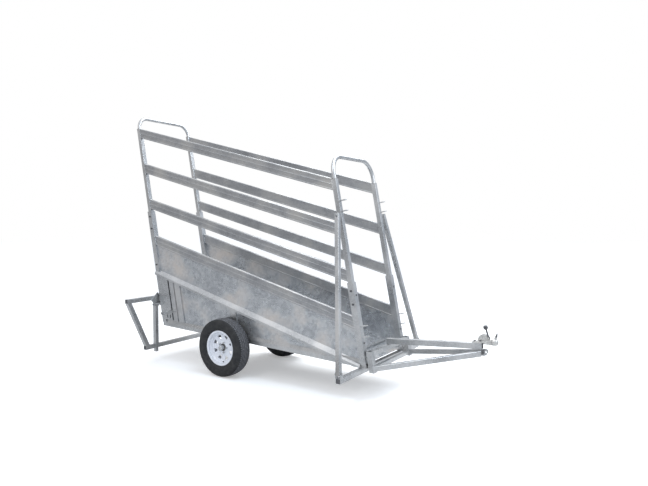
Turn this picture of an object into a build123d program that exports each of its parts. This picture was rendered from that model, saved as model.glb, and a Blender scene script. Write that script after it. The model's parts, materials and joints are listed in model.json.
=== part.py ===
from build123d import *
from math import atan, cos, sin, degrees, radians, hypot, tan
import os

os.makedirs("parts", exist_ok=True)

# Portable cattle loading ramp on one axle, with a towing drawbar.
# Millimetres. X runs forward to the coupling, Y to the left, Z up, ground at Z = 0.
# Every X below is counted from the axle; AXLE_X moves the axle to its place in the row frame.
AXLE_X = -643.8

# wheels and axle
WHEEL_R = 325.0
TYRE_W = 185.0
TRACK = 1080.0
RIM_R = 177.8
SPINDLE_R = 20.0
RUNNING = 0.05
STUD_PCD_R = 57.15
WINDOWS = 8
WINDOW_R = 119.0
WINDOW_W = 52.0
WINDOW_H = 42.0
WINDOW_ANGLE = 68.0
WINDOW_CORNER = 5.0
BORE_R = 42.0
CAP_R = 27.0
NUTS = 5

# slopes: rails and deck rise to the rear, the bottom rails nearly level, the posts lean back
DECK_S = 0.2573
FRAME_S = 0.0396
LEAN = 0.1918
DECK_A = atan(DECK_S)
LEAN_A = atan(LEAN)

# heights of the sloping members above the axle (value of Z at X = 0)
RAIL_TOPS = (2512.6, 2086.9, 1661.0)
SHEET_RAIL_TOP = 1226.4
RAIL_H = 112.0
DECK_TOP = 812.0
DECK_T = 4.0
FLANGE_TOP = 814.5
SHEET_JOIN = 790.0
BOTTOM_LOW = 391.5
BOTTOM_H = 45.0
LIP_H = 37.0

# posts: X of the centre line carried down to Z = 0
POST_F = 1796.0
POST_R = -1001.0
SLEEVE = 65.0
SLEEVE_T = 4.0
POST = 50.0
POST_T = 3.0
SLEEVE_TOP_F = 1141.0
SLEEVE_TOP_R = 1857.0
INSERT = 400.0
HOOP_R = 21.0
HOOP_T = 3.0
HOOP_F = 240.0
HOOP_B = 145.0

# half widths
OUT = 444.0
POST_Y = 411.5
RAIL_OUT = 436.0
RAIL_IN = 396.0
SHEET_OUT = 425.0
SHEET_T = 2.0

# outrigger, braces and rear stand
TUBE = 50.0
TUBE_T = 3.0
OUTRIGGER_X = 1710.0
OUTRIGGER_HALF = 872.0
OUTRIGGER_TOP = 322.7
BRACE = 45.0
BRACE_FOOT = Vector(1710.0, 860.0, 361.0)
BRACE_HEAD = Vector(1462.0, 484.0, 1797.0)
STAND_X = -1240.0
STAND_A_Z = 777.0
STAND_C_Z = 172.0
STAND_A_HALF = 890.0
STAND_C_HALF = 630.0
STAND_LEG_Y = 460.0
STAND_PIVOT = (-1195.0, 700.0)
INNER_LEG = 40.0

# drawbar
DRAW_REAR = 1850.0
DRAW_FRONT = 1901.0
DRAW_IN = 377.0
DRAW_OUT = 438.5
DRAW_LOW = 286.0
DRAW_HIGH = 492.0
DRAW_PIVOT_Z = 340.0
DRAW_PIVOT_X = 1839.5 - LEAN * DRAW_PIVOT_Z
DRAW_PIN_R = 5.0
DRAW_EAR_R = 9.0
ARM_START = (1768.0, 510.0)
ARM_END = (2746.0, 584.0)
ARM_W = 50.0
ARM_H = 58.0
BALL_X = 2857.0
BALL_Z = 628.0
SOCKET_R = 25.4
LEVER_PIVOT = (2806.0, 664.0)
LEVER_KNOB = (2776.0, 761.0)
HANDLE_PIVOT = (2866.0, 673.0)


def meet(base, height, slope):
    """Point (x, z) where a leaning line crosses a sloping line."""
    x = (base - LEAN * height) / (1 - LEAN * slope)
    return (x, height - slope * x)


def cross(h1, s1, h2, s2):
    """Point (x, z) where two sloping lines cross."""
    x = (h1 - h2) / (s1 - s2)
    return (x, h1 - s1 * x)


def side_plane(y):
    """Vertical plane along the ramp at y; extrusions go to smaller y."""
    return Plane(origin=(0, y, 0), x_dir=(1, 0, 0), z_dir=(0, -1, 0))


def span(side, y_in, y_out):
    """Start y of an extrusion that fills y_in to y_out on one side."""
    return side_plane(y_out if side > 0 else -y_in)


def along(p, q, x_dir=(0, 1, 0)):
    """Plane at p whose normal points to q."""
    return Plane(origin=p, x_dir=x_dir, z_dir=(Vector(*q) - Vector(*p)))


def ring(w, h, t, r=0.0):
    """Hollow rectangle in the current sketch."""
    if r:
        RectangleRounded(w, h, r)
        RectangleRounded(w - 2 * t, h - 2 * t, max(r - t, 0.5), mode=Mode.SUBTRACT)
    else:
        Rectangle(w, h)
        Rectangle(w - 2 * t, h - 2 * t, mode=Mode.SUBTRACT)


def lean_point(base, z):
    return (base - LEAN * z, z)


def write(builder, name):
    """Move the piece to the row frame, label it and export it."""
    piece = Pos(AXLE_X, 0, 0) * builder.part
    piece.label = name
    export_step(piece, "parts/" + name + ".step")


HALF_S = SLEEVE / 2 / cos(LEAN_A)
HALF_P = POST / 2 / cos(LEAN_A)
SLEEVE_IN_R = POST_R + HALF_S
SLEEVE_IN_F = POST_F - HALF_S
POST_IN_R = POST_R + HALF_P
POST_IN_F = POST_F - HALF_P
RAIL_DROP = RAIL_H / cos(DECK_A)
BOTTOM_TOP = BOTTOM_LOW + BOTTOM_H

# ---------------------------------------------------------------- side rails
for name, top in zip(("top_rails", "middle_rails", "low_rails"), RAIL_TOPS):
    low = top - RAIL_DROP
    with BuildPart() as rails:
        for side in (1, -1):
            with BuildSketch(span(side, RAIL_IN, RAIL_OUT)):
                with BuildLine():
                    Polyline(meet(POST_IN_R, top, DECK_S), meet(POST_IN_F, top, DECK_S),
                             meet(POST_IN_F, low, DECK_S), meet(POST_IN_R, low, DECK_S), close=True)
                make_face()
            extrude(amount=RAIL_OUT - RAIL_IN)
            with BuildSketch(span(side, RAIL_IN + 2.5, RAIL_OUT - 2.5)):
                with BuildLine():
                    Polyline(meet(POST_IN_R - 9, top - 3, DECK_S), meet(POST_IN_F + 9, top - 3, DECK_S),
                             meet(POST_IN_F + 9, low + 3, DECK_S), meet(POST_IN_R - 9, low + 3, DECK_S),
                             close=True)
                make_face()
            extrude(amount=RAIL_OUT - RAIL_IN - 5, mode=Mode.SUBTRACT)
    write(rails, name)

with BuildPart() as sheet_rails:
    top, low = SHEET_RAIL_TOP, SHEET_RAIL_TOP - RAIL_DROP
    for side in (1, -1):
        with BuildSketch(span(side, RAIL_IN, RAIL_OUT)):
            with BuildLine():
                Polyline(meet(SLEEVE_IN_R, top, DECK_S), meet(SLEEVE_IN_F, top, DECK_S),
                         meet(SLEEVE_IN_F, low, DECK_S), meet(SLEEVE_IN_R, low, DECK_S), close=True)
            make_face()
        extrude(amount=RAIL_OUT - RAIL_IN)
        with BuildSketch(span(side, RAIL_IN + 2.5, RAIL_OUT - 2.5)):
            with BuildLine():
                Polyline(meet(SLEEVE_IN_R - 9, top - 3, DECK_S), meet(SLEEVE_IN_F + 9, top - 3, DECK_S),
                         meet(SLEEVE_IN_F + 9, low + 3, DECK_S), meet(SLEEVE_IN_R - 9, low + 3, DECK_S),
                         close=True)
            make_face()
        extrude(amount=RAIL_OUT - RAIL_IN - 5, mode=Mode.SUBTRACT)
write(sheet_rails, "sheet_rails")

# ---------------------------------------------------------------- side and skirt sheets
TIP = cross(SHEET_JOIN, DECK_S, BOTTOM_TOP, FRAME_S)
for side, word in ((1, "left"), (-1, "right")):
    with BuildPart() as side_sheet:
        with BuildSketch(span(side, SHEET_OUT - SHEET_T, SHEET_OUT)):
            with BuildLine():
                Polyline(meet(SLEEVE_IN_R, low, DECK_S), meet(SLEEVE_IN_R, SHEET_JOIN, DECK_S), TIP,
                         meet(SLEEVE_IN_F, BOTTOM_TOP, FRAME_S), meet(SLEEVE_IN_F, low, DECK_S),
                         close=True)
            make_face()
        extrude(amount=SHEET_T)
    write(side_sheet, "side_sheet_" + word)
    with BuildPart() as skirt_sheet:
        with BuildSketch(span(side, SHEET_OUT - SHEET_T, SHEET_OUT)):
            with BuildLine():
                Polyline(meet(SLEEVE_IN_R, SHEET_JOIN, DECK_S), meet(SLEEVE_IN_R, BOTTOM_TOP, FRAME_S),
                         TIP, close=True)
            make_face()
        extrude(amount=SHEET_T)
    write(skirt_sheet, "skirt_sheet_" + word)

# ---------------------------------------------------------------- deck edge flanges
with BuildPart() as deck_flanges:
    for side in (1, -1):
        start = meet(POST_R - HALF_S, FLANGE_TOP, DECK_S)
        end = meet(SLEEVE_IN_F, FLANGE_TOP, DECK_S)
        p = (start[0] - 60, 0, start[1] + 60 * DECK_S)
        q = (end[0] + 60, 0, end[1] - 60 * DECK_S)
        with BuildSketch(along(p, q)):
            for y0, y1, cut, mode in ((SHEET_OUT, 462.0, 0.0, Mode.ADD),
                                      (SHEET_OUT - 1, 459.0, 3.5, Mode.SUBTRACT)):
                with BuildLine():
                    Polyline((side * y0, -cut), (side * y1, -42 - cut * 0.3), (side * y1, -66 + cut),
                             (side * y0, -66 + cut), close=True)
                make_face(mode=mode)
        extrude(amount=hypot(q[0] - p[0], q[2] - p[2]))
    with BuildSketch(side_plane(600)):
        with BuildLine():
            Polyline(lean_point(POST_R - HALF_S, 0), lean_point(SLEEVE_IN_F, 0),
                     lean_point(SLEEVE_IN_F, 2000), lean_point(POST_R - HALF_S, 2000), close=True)
        make_face()
    extrude(amount=1200, mode=Mode.INTERSECT)
    with BuildSketch(side_plane(OUT)):
        with BuildLine():
            Polyline(lean_point(POST_R - HALF_S - 80, 0), lean_point(SLEEVE_IN_R, 0),
                     lean_point(SLEEVE_IN_R, 2000), lean_point(POST_R - HALF_S - 80, 2000), close=True)
        make_face()
    extrude(amount=2 * OUT, mode=Mode.SUBTRACT)
    with BuildSketch(side_plane(OUT)):
        with BuildLine():
            Polyline((900, BOTTOM_TOP + LIP_H - 900 * FRAME_S + 1),
                     (1900, BOTTOM_TOP + LIP_H - 1900 * FRAME_S + 1), (1900, 0), (900, 0), close=True)
        make_face()
    extrude(amount=2 * OUT, mode=Mode.SUBTRACT)
    with BuildSketch(side_plane(600)):
        with BuildLine():
            Polyline((900, BOTTOM_LOW - 900 * FRAME_S + 1), (1900, BOTTOM_LOW - 1900 * FRAME_S + 1),
                     (1900, 0), (900, 0), close=True)
        make_face()
    extrude(amount=1200, mode=Mode.SUBTRACT)
write(deck_flanges, "deck_flanges")

# ---------------------------------------------------------------- bottom rails
with BuildPart() as bottom_rails:
    for side in (1, -1):
        rear, front = POST_R - HALF_S, POST_F + HALF_S
        with BuildSketch(span(side, RAIL_IN, 438.0)):
            with BuildLine():
                Polyline(meet(rear, BOTTOM_LOW, FRAME_S), meet(front, BOTTOM_LOW, FRAME_S),
                         meet(front, BOTTOM_TOP, FRAME_S), meet(rear, BOTTOM_TOP, FRAME_S), close=True)
            make_face()
        extrude(amount=438.0 - RAIL_IN)
        with BuildSketch(span(side, RAIL_IN + 3, 435.0)):
            with BuildLine():
                Polyline(meet(rear - 9, BOTTOM_LOW + 3, FRAME_S), meet(front + 9, BOTTOM_LOW + 3, FRAME_S),
                         meet(front + 9, BOTTOM_TOP - 3, FRAME_S), meet(rear - 9, BOTTOM_TOP - 3, FRAME_S),
                         close=True)
            make_face()
        extrude(amount=435.0 - RAIL_IN - 3, mode=Mode.SUBTRACT)
        a, b = meet(SLEEVE_IN_R, BOTTOM_TOP, FRAME_S), meet(SLEEVE_IN_F, BOTTOM_TOP, FRAME_S)
        with BuildSketch(along((a[0], 0, a[1]), (b[0], 0, b[1]))):
            with BuildLine():
                Polyline((side * SHEET_OUT, 0), (side * 438.0, 0), (side * 428.0, LIP_H),
                         (side * SHEET_OUT, LIP_H), close=True)
            make_face()
        extrude(amount=hypot(b[0] - a[0], b[1] - a[1]))
    with BuildSketch(side_plane(600)):
        with BuildLine():
            Polyline(lean_point(rear, 0), lean_point(SLEEVE_IN_R, 0),
                     lean_point(SLEEVE_IN_R, BOTTOM_TOP + 120),
                     lean_point(rear, BOTTOM_TOP + 120), close=True)
        make_face()
        with BuildLine():
            Polyline(meet(rear, BOTTOM_TOP, FRAME_S), meet(SLEEVE_IN_R, BOTTOM_TOP, FRAME_S),
                     lean_point(SLEEVE_IN_R, 0), lean_point(rear, 0), close=True)
        make_face(mode=Mode.SUBTRACT)
        with BuildLine():
            Polyline(meet(SLEEVE_IN_F, BOTTOM_TOP, FRAME_S), meet(front, BOTTOM_TOP, FRAME_S),
                     lean_point(front, 700), lean_point(SLEEVE_IN_F, 700), close=True)
        make_face()
    extrude(amount=1200, mode=Mode.SUBTRACT)
write(bottom_rails, "bottom_rails")

# ---------------------------------------------------------------- post sleeves
for name, base, z_top in (("front_sleeves", POST_F, SLEEVE_TOP_F), ("rear_sleeves", POST_R, SLEEVE_TOP_R)):
    tx, tz = lean_point(base, z_top)
    dx, dz = cos(LEAN_A), sin(LEAN_A)
    with BuildPart() as sleeves:
        for side in (1, -1):
            for half, skin, grow, mode in ((SLEEVE / 2, 0.0, 0.0, Mode.ADD),
                                           (SLEEVE / 2 - SLEEVE_T, SLEEVE_T, 9.0, Mode.SUBTRACT)):
                h = half / cos(LEAN_A)
                up = (tx - grow * sin(LEAN_A), tz + grow * cos(LEAN_A))
                with BuildSketch(span(side, OUT - SLEEVE + skin, OUT - skin)):
                    with BuildLine():
                        Polyline(meet(base - h, BOTTOM_TOP - grow, FRAME_S),
                                 meet(base + h, BOTTOM_TOP - grow, FRAME_S),
                                 (up[0] + half * dx, up[1] + half * dz),
                                 (up[0] - half * dx, up[1] - half * dz), close=True)
                    make_face()
                extrude(amount=SLEEVE - 2 * skin, mode=mode)
    write(sleeves, name)

# ---------------------------------------------------------------- upper posts and hoops
for name, base, z_top, hoop, rise, radius in (
        ("front_posts", POST_F, SLEEVE_TOP_F, "front_hoop", HOOP_F, 185.0),
        ("rear_posts", POST_R, SLEEVE_TOP_R, "rear_hoop", HOOP_B, 140.0)):
    cap = meet(base, RAIL_TOPS[0], DECK_S)
    foot = (cap[0] + sin(LEAN_A) * ((cap[1] - z_top) / cos(LEAN_A) + INSERT),
            cap[1] - (cap[1] - z_top) - INSERT * cos(LEAN_A))
    length = hypot(cap[0] - foot[0], cap[1] - foot[1])
    with BuildPart() as posts:
        for side in (1, -1):
            with BuildSketch(along((foot[0], side * POST_Y, foot[1]), (cap[0], side * POST_Y, cap[1]))):
                ring(POST, POST, POST_T, 4.0)
            extrude(amount=length)
    write(posts, name)
    plane = Plane(origin=(cap[0], 0, cap[1]), x_dir=(0, 1, 0), z_dir=(cos(LEAN_A), 0, sin(LEAN_A)))
    with BuildPart() as hoop_tube:
        with BuildLine(plane) as path:
            FilletPolyline((-POST_Y, -60), (-POST_Y, rise), (POST_Y, rise), (POST_Y, -60), radius=radius)
        with BuildSketch(Plane(origin=path.wires()[0] @ 0, z_dir=path.wires()[0] % 0)):
            Circle(HOOP_R)
            Circle(HOOP_R - HOOP_T, mode=Mode.SUBTRACT)
        sweep(path=path.wires()[0])
    write(hoop_tube, hoop)

# ---------------------------------------------------------------- deck
DECK_LOW = DECK_TOP - DECK_T
with BuildPart() as deck_plate:
    for rear, x1, half in ((SLEEVE_IN_R, 1600.0, SHEET_OUT - SHEET_T), (0.0, 1742.0, 374.0)):
        with BuildSketch(side_plane(half)):
            with BuildLine():
                Polyline(meet(rear, DECK_TOP, DECK_S), (x1, DECK_TOP - DECK_S * x1),
                         (x1, DECK_LOW - DECK_S * x1),
                         meet(rear, DECK_LOW, DECK_S), close=True)
            make_face()
        extrude(amount=2 * half)
write(deck_plate, "deck_plate")

with BuildPart() as deck_cleats:
    for i in range(9):
        x = -1060.0 + 325.0 * i
        spot = Plane(origin=(x, 0, DECK_TOP - DECK_S * x), x_dir=(cos(DECK_A), 0, -sin(DECK_A)),
                     z_dir=(0, -1, 0)).offset(-370)
        with BuildSketch(spot):
            with Locations((0, 10)):
                Rectangle(32, 20)
        extrude(amount=740)
write(deck_cleats, "deck_cleats")

with BuildPart() as deck_bearers:
    for i in range(6):
        x = -1000.0 + 440.0 * i
        spot = Plane(origin=(x, 0, DECK_TOP - DECK_T - DECK_S * x), x_dir=(cos(DECK_A), 0, -sin(DECK_A)),
                     z_dir=(0, -1, 0)).offset(-(SHEET_OUT - SHEET_T))
        with BuildSketch(spot):
            with Locations((0, -2)):
                Rectangle(40, 4)
            with Locations((-18, -20)):
                Rectangle(4, 40)
        extrude(amount=2 * (SHEET_OUT - SHEET_T))
write(deck_bearers, "deck_bearers")

SILL_Z = 1068.0
with BuildPart() as rear_sill:
    for z, size in ((SILL_Z, 60.0), (560.0, 50.0)):
        x = POST_R - LEAN * z
        spot = Plane(origin=(x, OUT - SLEEVE, z), x_dir=(cos(LEAN_A), 0, sin(LEAN_A)), z_dir=(0, -1, 0))
        with BuildSketch(spot):
            ring(size, size, 3.0, 4.0)
        extrude(amount=2 * (OUT - SLEEVE))
write(rear_sill, "rear_sill")

# ---------------------------------------------------------------- stiffeners on the skirt sheets
with BuildPart() as skirt_stiffeners:
    for side in (1, -1):
        for b0, b1, y_out in ((-832.0, -760.0, 437.0), (-741.0, -652.0, 437.0), (133.0, 213.0, 434.0)):
            hang = FLANGE_TOP - 72.0
            with BuildSketch(span(side, SHEET_OUT, y_out)):
                with BuildLine():
                    Polyline(meet(b0, hang, DECK_S), meet(b1, hang, DECK_S),
                             meet(b1, BOTTOM_TOP + LIP_H + 1, FRAME_S),
                             meet(b0, BOTTOM_TOP + LIP_H + 1, FRAME_S), close=True)
                make_face()
            extrude(amount=y_out - SHEET_OUT)
write(skirt_stiffeners, "skirt_stiffeners")

with BuildPart() as slotted_plates:
    for side in (1, -1):
        hang = FLANGE_TOP - 74.0
        with BuildSketch(span(side, 436.0, OUT)):
            with BuildLine():
                Polyline(meet(SLEEVE_IN_R, hang, DECK_S), meet(-846.0, hang, DECK_S),
                         meet(-846.0, BOTTOM_TOP + LIP_H + 2, FRAME_S),
                         meet(SLEEVE_IN_R, BOTTOM_TOP + LIP_H + 2, FRAME_S), close=True)
            make_face()
            for b in (-930.0, -880.0):
                with Locations(lean_point(b, 560.0)):
                    SlotOverall(46, 14, rotation=90 + degrees(LEAN_A), mode=Mode.SUBTRACT)
        extrude(amount=OUT - 436.0)
write(slotted_plates, "slotted_plates")

with BuildPart() as side_pegs:
    for side in (1, -1):
        with BuildSketch(Plane(origin=(-928, side * 437.0, 628), x_dir=(1, 0, 0), z_dir=(0, side, 0))):
            ring(30, 30, 2.5, 3.0)
        extrude(amount=190)
write(side_pegs, "side_pegs")

# ---------------------------------------------------------------- axle
with BuildPart() as axle_beam:
    with BuildSketch(Plane(origin=(0, 470, WHEEL_R), x_dir=(1, 0, 0), z_dir=(0, -1, 0))):
        RectangleRounded(TUBE, TUBE, 4.0)
    extrude(amount=940)
    for side in (1, -1):
        with BuildSketch(Plane(origin=(0, side * 465, WHEEL_R), x_dir=(1, 0, 0), z_dir=(0, side, 0))):
            Circle(SPINDLE_R)
        extrude(amount=130)
write(axle_beam, "axle_beam")

with BuildPart() as axle_mounts:
    for side in (1, -1):
        with BuildSketch(span(side, 394.0, 434.0)):
            with BuildLine():
                Polyline((-45, WHEEL_R + TUBE / 2), (45, WHEEL_R + TUBE / 2),
                         (75, BOTTOM_LOW - 75 * FRAME_S),
                         (-75, BOTTOM_LOW + 75 * FRAME_S), close=True)
            make_face()
        extrude(amount=40)
write(axle_mounts, "axle_mounts")

# ---------------------------------------------------------------- wheels
for side, word in ((1, "left"), (-1, "right")):
    y0 = side * TRACK / 2
    face = Plane(origin=(0, y0, WHEEL_R), x_dir=(0, side, 0), z_dir=(side, 0, 0))
    spin = Axis((0, y0, WHEEL_R), (0, 1, 0))
    with BuildPart() as tyre:
        with BuildSketch(face):
            with BuildLine():
                Spline((-72, 317.5), (-88, 290), (-92.5, 252), (-85, 218), (-72, 200),
                       tangents=((-1, -0.7), (0.8, -0.6)))
                Polyline((-72, 200), (-61.5, 198), (-61.5, 181.5), (-46, 181.5))
                Spline((-46, 181.5), (-55, 202), (-72, 224), (-81, 252), (-76, 290), (-60, 307),
                       tangents=((0, 1), (1, 0.6)))
                Line((-60, 307), (60, 307))
                Spline((60, 307), (76, 290), (81, 252), (72, 224), (55, 202), (46, 181.5),
                       tangents=((1, -0.6), (0, -1)))
                Polyline((46, 181.5), (61.5, 181.5), (61.5, 198), (72, 200))
                Spline((72, 200), (85, 218), (92.5, 252), (88, 290), (72, 317.5),
                       tangents=((0.8, 0.6), (-1, 0.7)))
                ThreePointArc((72, 317.5), (0, WHEEL_R), (-72, 317.5))
            make_face()
            with Locations((-42, 322), (0, 326), (42, 322)):
                Rectangle(7, 16, mode=Mode.SUBTRACT)
        revolve(axis=spin)
    write(tyre, "tyre_" + word)
    with BuildPart() as rim:
        with BuildSketch(face):
            with BuildLine():
                Polyline((-68, 193), (-64, 193), (-62, 180.7), (-40, 178), (-30, 163), (30, 163), (42, 178),
                         (62, 180.7), (64, 194), (70, 196), (70, 190), (66, 176), (48, 172), (36, 158),
                         (24, 148), (12, 118), (12, 66), (16, BORE_R), (12, BORE_R), (6, 66), (6, 120),
                         (18, 152), (18, 158), (-32, 158), (-43, 173.5), (-65, 175.5), close=True)
            make_face()
        revolve(axis=spin)
        front = Plane(origin=(0, y0 - side * 20, WHEEL_R), x_dir=(1, 0, 0), z_dir=(0, side, 0))
        with BuildSketch(front) as windows:
            with PolarLocations(0, WINDOWS, start_angle=22.5):
                with Locations((WINDOW_R, 0)):
                    Trapezoid(WINDOW_W, WINDOW_H, WINDOW_ANGLE, rotation=90)
            fillet(windows.vertices(), WINDOW_CORNER)
        extrude(amount=60, mode=Mode.SUBTRACT)
        with BuildSketch(front):
            with PolarLocations(STUD_PCD_R, NUTS):
                Circle(7.0)
        extrude(amount=60, mode=Mode.SUBTRACT)
    write(rim, "rim_" + word)
    with BuildPart() as hub:
        with BuildSketch(face):
            with BuildLine():
                Polyline((-46, SPINDLE_R + RUNNING), (-46, 36), (-8, 36), (-8, 70), (6, 70),
                         (6, BORE_R - 0.2), (12, BORE_R - 0.2), (12, CAP_R), (62, CAP_R),
                         (68, CAP_R - 5), (68, 0), (60, 0),
                         (60, SPINDLE_R + RUNNING), close=True)
            make_face()
        revolve(axis=spin)
        with BuildSketch(Plane(origin=(0, y0 + side * 6, WHEEL_R), x_dir=(1, 0, 0), z_dir=(0, side, 0))):
            with PolarLocations(STUD_PCD_R, NUTS):
                Circle(6.0)
        extrude(amount=30)
        with BuildSketch(Plane(origin=(0, y0 + side * 15.8, WHEEL_R), x_dir=(1, 0, 0), z_dir=(0, side, 0))):
            with PolarLocations(STUD_PCD_R, NUTS):
                RegularPolygon(10.5, 6)
        extrude(amount=15)
    write(hub, "hub_" + word)

# ---------------------------------------------------------------- front outrigger and braces
with BuildPart() as outrigger_tube:
    with BuildSketch(Plane(origin=(OUTRIGGER_X, OUTRIGGER_HALF, OUTRIGGER_TOP - TUBE / 2), x_dir=(1, 0, 0),
                           z_dir=(0, -1, 0))):
        ring(TUBE, TUBE, TUBE_T, 5.0)
    extrude(amount=2 * OUTRIGGER_HALF)
write(outrigger_tube, "outrigger_tube")

for side, word in ((1, "left"), (-1, "right")):
    foot = Vector(BRACE_FOOT.X, side * BRACE_FOOT.Y, BRACE_FOOT.Z)
    head = Vector(BRACE_HEAD.X, side * BRACE_HEAD.Y, BRACE_HEAD.Z)
    rise = (head - foot).normalized()
    pin_dir = rise.cross(Vector(0, side, 0)).normalized()
    if pin_dir.X < 0:
        pin_dir = pin_dir * -1
    across = pin_dir.cross(rise)
    with BuildPart() as brace:
        with BuildSketch(Plane(origin=foot - rise * 18, x_dir=pin_dir, z_dir=rise)):
            ring(BRACE, BRACE, 3.0, 5.0)
        extrude(amount=(head - foot).length + 36)
        with BuildSketch(Plane(origin=foot, x_dir=rise, z_dir=pin_dir)):
            Circle(8.05)
        extrude(amount=40, both=True, mode=Mode.SUBTRACT)
        with BuildSketch(Plane(origin=head, x_dir=(1, 0, 0), z_dir=(0, 1, 0))):
            Circle(8.0)
        extrude(amount=60, both=True, mode=Mode.SUBTRACT)
        with BuildSketch(Plane(origin=(head.X, side * 438.0, head.Z), x_dir=(1, 0, 0), z_dir=(0, side, 0))):
            Circle(8.0)
        extrude(amount=82)
        with BuildSketch(Plane(origin=(head.X, side * 516.0, head.Z), x_dir=(1, 0, 0), z_dir=(0, side, 0))):
            RegularPolygon(13.5, 6)
        extrude(amount=9)
        with BuildSketch(Plane(origin=(head.X, side * 438.0, head.Z), x_dir=(1, 0, 0), z_dir=(0, side, 0))):
            Circle(16.0)
        extrude(amount=12)
    write(brace, "brace_" + word)

with BuildPart() as brace_clevises:
    for side in (1, -1):
        foot = Vector(BRACE_FOOT.X, side * BRACE_FOOT.Y, BRACE_FOOT.Z)
        head = Vector(BRACE_HEAD.X, side * BRACE_HEAD.Y, BRACE_HEAD.Z)
        rise = (head - foot).normalized()
        pin_dir = rise.cross(Vector(0, side, 0)).normalized()
        if pin_dir.X < 0:
            pin_dir = pin_dir * -1
        down = Vector(-pin_dir.Z, 0, pin_dir.X) * -1
        for gap in (23.5, -29.5):
            with BuildSketch(Plane(origin=foot + pin_dir * gap, x_dir=(0, 1, 0), z_dir=pin_dir)):
                Circle(21.0)
                with Locations((0, -30)):
                    Rectangle(42, 60)
            extrude(amount=6)
        with BuildSketch(Plane(origin=foot - pin_dir * 36.5, x_dir=(0, 1, 0), z_dir=pin_dir)):
            Circle(8.0)
        extrude(amount=73)
        for gap, size in ((29.5, 7.0), (-36.5, 7.0)):
            with BuildSketch(Plane(origin=foot + pin_dir * gap, x_dir=(0, 1, 0), z_dir=pin_dir)):
                RegularPolygon(13.0, 6)
            extrude(amount=size)
    with BuildSketch(side_plane(1000)):
        with Locations((OUTRIGGER_X, OUTRIGGER_TOP - 250)):
            Rectangle(500, 500)
    extrude(amount=2000, mode=Mode.SUBTRACT)
write(brace_clevises, "brace_clevises")

# ---------------------------------------------------------------- lugs for yard panels
for name, face_base, heights in (("upper_panel_lugs", POST_F + HALF_P, (1939.0, 1835.0)),
                                 ("lower_panel_lugs", POST_F + HALF_S, (722.0, 618.0))):
    with BuildPart() as panel_lugs:
        for side in (1, -1):
            for z in heights:
                x = face_base - LEAN * z
                with BuildSketch(Plane(origin=(x, side * POST_Y, z), x_dir=(cos(LEAN_A), 0, sin(LEAN_A)),
                                       z_dir=(-sin(LEAN_A), 0, cos(LEAN_A)))):
                    with Locations((26, 0)):
                        Rectangle(52, 40)
                    with Locations((52, 0)):
                        Circle(20)
                        Circle(8.5, mode=Mode.SUBTRACT)
                extrude(amount=4, both=True)
    write(panel_lugs, name)

with BuildPart() as post_bolts:
    for base, half, heights in (
            (POST_F, SLEEVE / 2, (1060.0, 930.0)),
            (POST_R, SLEEVE / 2, (1790.0, 1640.0, 1190.0))):
        for side in (1, -1):
            for z in heights:
                x = base - LEAN * z
                with BuildSketch(Plane(origin=(x, side * OUT, z), x_dir=(1, 0, 0), z_dir=(0, side, 0))):
                    RegularPolygon(11.0, 6)
                extrude(amount=8)
    for side in (1, -1):
        for z in (1020.0, 560.0, 470.0):
            x = POST_F + HALF_S - LEAN * z
            with BuildSketch(Plane(origin=(x, side * POST_Y, z), x_dir=(0, 1, 0),
                                   z_dir=(cos(LEAN_A), 0, sin(LEAN_A)))):
                RegularPolygon(9.0, 6)
            extrude(amount=6)
write(post_bolts, "post_bolts")

# ---------------------------------------------------------------- rear stand
PX, PZ = STAND_PIVOT
with BuildPart() as stand_hinge_lugs:
    for side in (1, -1):
        for y in (384.0, 434.0):
            with BuildSketch(side_plane(side * y + 4)):
                with BuildLine():
                    Polyline(lean_point(POST_R - HALF_S, PZ + 22), lean_point(POST_R - HALF_S, PZ - 22),
                             (PX, PZ - 12), (PX, PZ + 12), close=True)
                make_face()
                with Locations((PX, PZ)):
                    Circle(12)
                    Circle(10.0, mode=Mode.SUBTRACT)
            extrude(amount=8)
write(stand_hinge_lugs, "stand_hinge_lugs")

with BuildPart() as stand_pins:
    for side in (1, -1):
        with BuildSketch(Plane(origin=(PX, side * 378, PZ), x_dir=(1, 0, 0), z_dir=(0, side, 0))):
            Circle(10.0)
        extrude(amount=152)
write(stand_pins, "stand_pins")

with BuildPart() as stand_barrels:
    for side in (1, -1):
        for y, run in ((389.0, 40.0), (439.0, 97.0)):
            with BuildSketch(Plane(origin=(PX, side * y, PZ), x_dir=(1, 0, 0), z_dir=(0, side, 0))):
                Circle(14.0)
                Circle(10.0 + RUNNING, mode=Mode.SUBTRACT)
            extrude(amount=run)
write(stand_barrels, "stand_barrels")

with BuildPart() as stand_gussets:
    for side in (1, -1):
        outer = Plane(origin=(STAND_X + TUBE / 2, side * 455, 752), x_dir=(0, 1, 0), z_dir=(1, 0, 0))
        with BuildSketch(outer):
            Rectangle(134, 134, rotation=45)
        extrude(amount=6)
write(stand_gussets, "stand_gussets")

with BuildPart() as stand_top_tube:
    with BuildSketch(Plane(origin=(STAND_X, STAND_A_HALF, STAND_A_Z), x_dir=(1, 0, 0), z_dir=(0, -1, 0))):
        ring(TUBE, TUBE, TUBE_T, 5.0)
    extrude(amount=2 * STAND_A_HALF)
write(stand_top_tube, "stand_top_tube")

with BuildPart() as stand_bottom_tube:
    edge = STAND_LEG_Y + TUBE / 2
    for y0, y1 in ((edge, STAND_C_HALF), (-STAND_C_HALF, -edge), (-edge + TUBE, edge - TUBE)):
        with BuildSketch(Plane(origin=(STAND_X, y1, STAND_C_Z), x_dir=(1, 0, 0), z_dir=(0, -1, 0))):
            ring(TUBE, TUBE, TUBE_T, 5.0)
        extrude(amount=y1 - y0)
write(stand_bottom_tube, "stand_bottom_tube")

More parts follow.
